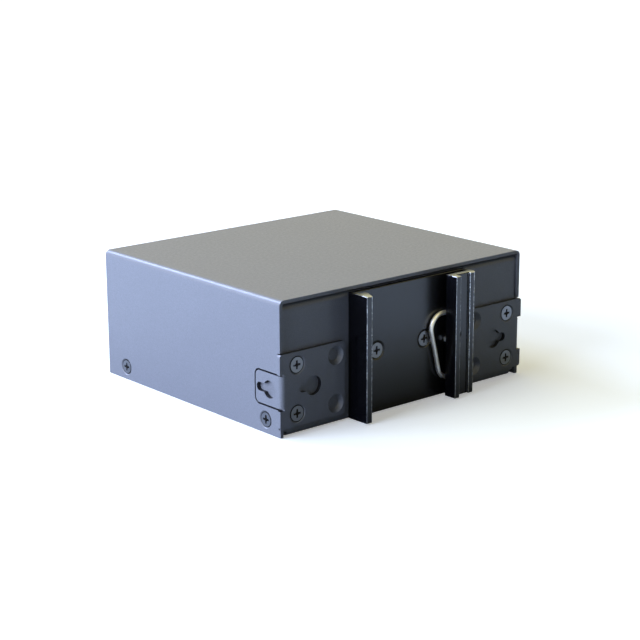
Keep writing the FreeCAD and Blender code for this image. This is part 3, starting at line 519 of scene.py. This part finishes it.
# ---- Stage, light and camera ----
def ray_test(tree, *names):
    """1 on the named kinds of ray, and 0 on the others."""
    path = node(tree, "ShaderNodeLightPath")
    total = path.outputs[names[0]]
    for name in names[1:]:
        add = node(tree, "ShaderNodeMath", operation="MAXIMUM")
        tree.links.new(total, add.inputs[0])
        tree.links.new(path.outputs[name], add.inputs[1])
        total = add.outputs["Value"]
    return total


def make_floor():
    """Pale floor that keeps the object's shadow near it and goes to white farther out.

    Gloss sees its own floor colour, with a painted contact shade near the object, and not the white
    one.
    """
    half = FLOOR_HALF
    mesh = bpy.data.meshes.new("floor")
    level = cad_low.z - FLOOR_GAP
    corners = [
        (-half, -half, level), (half, -half, level), (half, half, level), (-half, half, level)
    ]
    mesh.from_pydata(corners, [], [(0, 1, 2, 3)])
    floor = bpy.data.objects.new("floor", mesh)
    bpy.context.scene.collection.objects.link(floor)
    material, tree, shader = new_material("pale_floor")
    direct = ray_test(tree, "Is Camera Ray", "Is Transmission Ray")
    mirrored = ray_test(tree, "Is Glossy Ray")
    distance = node(tree, "ShaderNodeVectorMath", operation="LENGTH")
    tree.links.new(place(tree), distance.inputs["Vector"])
    span = distance.outputs["Value"]
    # Painted contact shade: the floor seen in gloss is darker near the object.
    clear = ramp(tree, span, CONTACT_START, CONTACT_END, 0, 1)
    shaded = blend_colours(tree, clear, shade(FLOOR_MIRRORED, CONTACT_SHADE), FLOOR_MIRRORED)
    color = blend_colours(
        tree, direct, blend_colours(tree, mirrored, FLOOR_BOUNCE, shaded), FLOOR_SEEN
    )
    tree.links.new(color, shader.inputs["Base Color"])
    shader.inputs["Roughness"].default_value = 0.75
    shader.inputs["Specular IOR Level"].default_value = 0.2
    shader.inputs["Emission Color"].default_value = (1, 1, 1, 1)
    glow = ramp(tree, span, GLOW_START, GLOW_END, GLOW_NEAR, GLOW_FAR)
    tree.links.new(product(tree, glow, direct), shader.inputs["Emission Strength"])
    mesh.materials.append(material)


def make_world():
    """White to the camera and through glass, a warm horizon in gloss, and dim as light."""
    world = bpy.data.worlds.new("studio")
    world.use_nodes = True
    tree = world.node_tree
    background = tree.nodes["Background"]
    direct = ray_test(tree, "Is Camera Ray", "Is Transmission Ray")
    mirrored = ray_test(tree, "Is Glossy Ray")
    dim = shade(AMBIENT_COLOUR, AMBIENT)
    color = blend_colours(tree, direct, blend_colours(tree, mirrored, dim, HORIZON), (1, 1, 1))
    tree.links.new(color, background.inputs["Color"])
    bpy.context.scene.world = world


def make_lights():
    centre = (cad_low + cad_high) / 2
    for name, place_at, size, watts, color in LAMPS:
        data = bpy.data.lights.new(name, "AREA")
        data.shape = "RECTANGLE"
        data.size, data.size_y = size
        data.energy = watts
        data.color = color
        lamp = bpy.data.objects.new(name, data)
        lamp.location = place_at
        lamp.rotation_mode = "QUATERNION"
        lamp.rotation_quaternion = (centre - Vector(place_at)).to_track_quat("-Z", "Y")
        bpy.context.scene.collection.objects.link(lamp)


def make_camera():
    """Long-lens camera at the photograph's angle, on the aim point."""
    azimuth = math.radians(CAMERA_AZIMUTH)
    elevation = math.radians(CAMERA_ELEVATION)
    back = Vector((
        math.sin(azimuth) * math.cos(elevation),
        -math.cos(azimuth) * math.cos(elevation),
        math.sin(elevation),
    ))
    data = bpy.data.cameras.new("camera")
    data.lens = LENS_MM
    data.sensor_width = SENSOR_MM
    data.clip_start = 0.01
    data.clip_end = 20
    camera = bpy.data.objects.new("camera", data)
    camera.location = CAMERA_AIM + back * CAMERA_DISTANCE
    camera.rotation_mode = "QUATERNION"
    upright = (-back).to_track_quat("-Z", "Y")
    camera.rotation_quaternion = upright @ Quaternion((0, 0, 1), math.radians(CAMERA_ROLL))
    bpy.context.scene.collection.objects.link(camera)
    bpy.context.scene.camera = camera


make_camera()
make_floor()
make_world()
make_lights()
dress_nodes()
soften_clip_edges()
add_gap_rings()
bpy.context.scene.view_settings.view_transform = "Standard"

bpy.context.view_layer.update()
